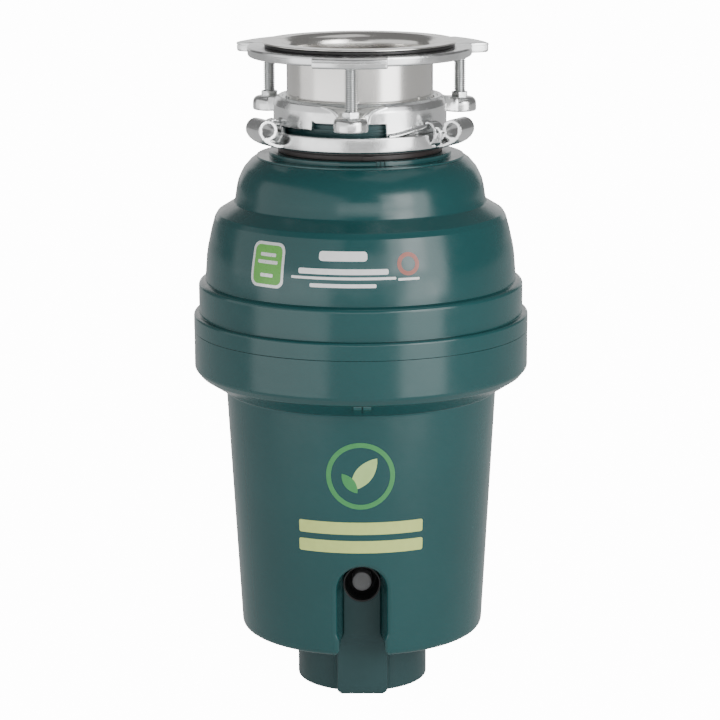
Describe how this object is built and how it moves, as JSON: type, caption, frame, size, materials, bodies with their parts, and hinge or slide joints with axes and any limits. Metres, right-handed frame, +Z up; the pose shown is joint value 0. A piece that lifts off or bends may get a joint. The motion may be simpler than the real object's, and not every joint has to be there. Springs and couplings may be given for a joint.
{
  "type": "kitchen garbage disposal",
  "caption": "Under-sink food waste disposer: stepped round green shell on a small neck base, grinding chamber and motor inside, cast clamp rings with screws and a steel sink flange on top.",
  "frame": {"origin": "centre of the bottom rim, where the unit stands", "axes": "+Z up along the motor axis, -Y is the front with the reset button, the discharge port faces +Y"},
  "size_m": [0.2032, 0.2032, 0.395],
  "materials": {
    "green_shell": "semi-gloss moulded",
    "green_base": "satin moulded",
    "green_hopper": "satin moulded",
    "cast_rings": "bright cast and tumbled",
    "stainless": "satin",
    "zinc_steel": "zinc plated",
    "black_rubber": "matt",
    "brown_washer": "matt",
    "grey_button": "satin",
    "spring_steel": "bright",
    "foam": "soft felt pad",
    "drain_plastic": "glass filled moulding",
    "wear_steel": "ground",
    "motor_steel": "painted",
    "end_casting": "cast",
    "bearing_steel": "ground",
    "ferrite": "sintered",
    "laminations": "varnished",
    "copper": "enamelled",
    "carbon": "sintered",
    "brass_fittings": "stamped",
    "insulating_board": "pressed board",
    "circuit_board": "lacquered",
    "black_moulding": "matt",
    "ground_green": "plated"
  },
  "bodies": {
    "housing": {"upper_shell": "green_shell", "lower_shell": "green_shell", "base_cover": "green_base", "base_plate": "green_base", "hopper": "green_hopper", "support_ring": "cast_rings", "sink_flange": "stainless", "mount_nuts": "zinc_steel", "snap_ring": "zinc_steel", "housing_screws": "zinc_steel", "cover_screws": "zinc_steel", "through_bolts": "zinc_steel", "flange_gasket": "black_rubber", "cushion_ring": "black_rubber", "splash_guard": "black_rubber", "button_bushing": "black_rubber", "chamber_gasket": "black_rubber", "discharge_gasket": "black_rubber", "shaft_seal": "black_rubber", "slip_washer": "brown_washer", "brush_springs": "spring_steel", "upper_insulation": "foam", "motor_insulation": "foam", "drain_housing": "drain_plastic", "grind_ring": "wear_steel", "motor_can": "motor_steel", "lower_end_bell": "end_casting", "upper_bearing": "bearing_steel", "lower_bearing": "bearing_steel", "field_magnets": "ferrite", "carbon_brushes": "carbon", "brush_holders": "brass_fittings", "brush_plate": "insulating_board", "rectifier_board": "circuit_board", "bridge_rectifier": "black_moulding", "overload_protector": "black_moulding", "cable_gland": "black_moulding", "ground_screw": "ground_green"},
    "backup_clamp": {"backup_ring": "cast_rings"},
    "screw_1": {"mount_screw_1": "zinc_steel"},
    "screw_2": {"mount_screw_2": "zinc_steel"},
    "screw_3": {"mount_screw_3": "zinc_steel"},
    "lock_ring": {"lock_ring": "cast_rings"},
    "rotor": {"shaft": "wear_steel", "armature_core": "laminations", "armature_windings": "copper", "commutator": "copper", "turntable": "wear_steel", "turntable_nut": "zinc_steel", "impeller_pins": "wear_steel", "slinger": "black_rubber"},
    "impeller_1": {"impeller_1": "wear_steel"},
    "impeller_2": {"impeller_2": "wear_steel"},
    "reset_button": {"reset_button": "grey_button", "button_spring": "spring_steel"}
  },
  "joints": [
    {"name": "clamp_slide", "type": "slide", "parent": "housing", "child": "backup_clamp", "axis": [0, 0, -1], "range_m": [0, 0.016]},
    {"name": "screw_1_turn", "type": "hinge", "parent": "backup_clamp", "child": "screw_1", "pos_m": [-0.00528, -0.06709, 0.368], "axis": [0, 0, -1], "range_deg": [0, 4540]},
    {"name": "screw_2_turn", "type": "hinge", "parent": "backup_clamp", "child": "screw_2", "pos_m": [0.06074, 0.02897, 0.368], "axis": [0, 0, -1], "range_deg": [0, 4540]},
    {"name": "screw_3_turn", "type": "hinge", "parent": "backup_clamp", "child": "screw_3", "pos_m": [-0.05546, 0.03812, 0.368], "axis": [0, 0, -1], "range_deg": [0, 4540]},
    {"name": "lock_turn", "type": "hinge", "parent": "housing", "child": "lock_ring", "pos_m": [0, 0, 0.3395], "axis": [0, 0, 1], "range_deg": [-40, 0]},
    {"name": "rotor_spin", "type": "hinge", "parent": "housing", "child": "rotor", "pos_m": [0, 0, 0.18], "axis": [0, 0, 1], "continuous": true},
    {"name": "impeller_1_swivel", "type": "hinge", "parent": "rotor", "child": "impeller_1", "pos_m": [0.042, 0, 0.2725], "axis": [0, 0, 1], "continuous": true},
    {"name": "impeller_2_swivel", "type": "hinge", "parent": "rotor", "child": "impeller_2", "pos_m": [-0.042, 0, 0.2725], "axis": [0, 0, 1], "continuous": true},
    {"name": "reset_press", "type": "slide", "parent": "housing", "child": "reset_button", "axis": [0, 1, 0], "range_m": [0, 0.003], "stiffness_N_per_m": 700, "springref_m": -0.001}
  ],
  "couplings": [
    {"joint": "screw_1_turn", "follows": "clamp_slide", "rad_per_m": 4947.4},
    {"joint": "screw_2_turn", "follows": "clamp_slide", "rad_per_m": 4947.4},
    {"joint": "screw_3_turn", "follows": "clamp_slide", "rad_per_m": 4947.4}
  ]
}
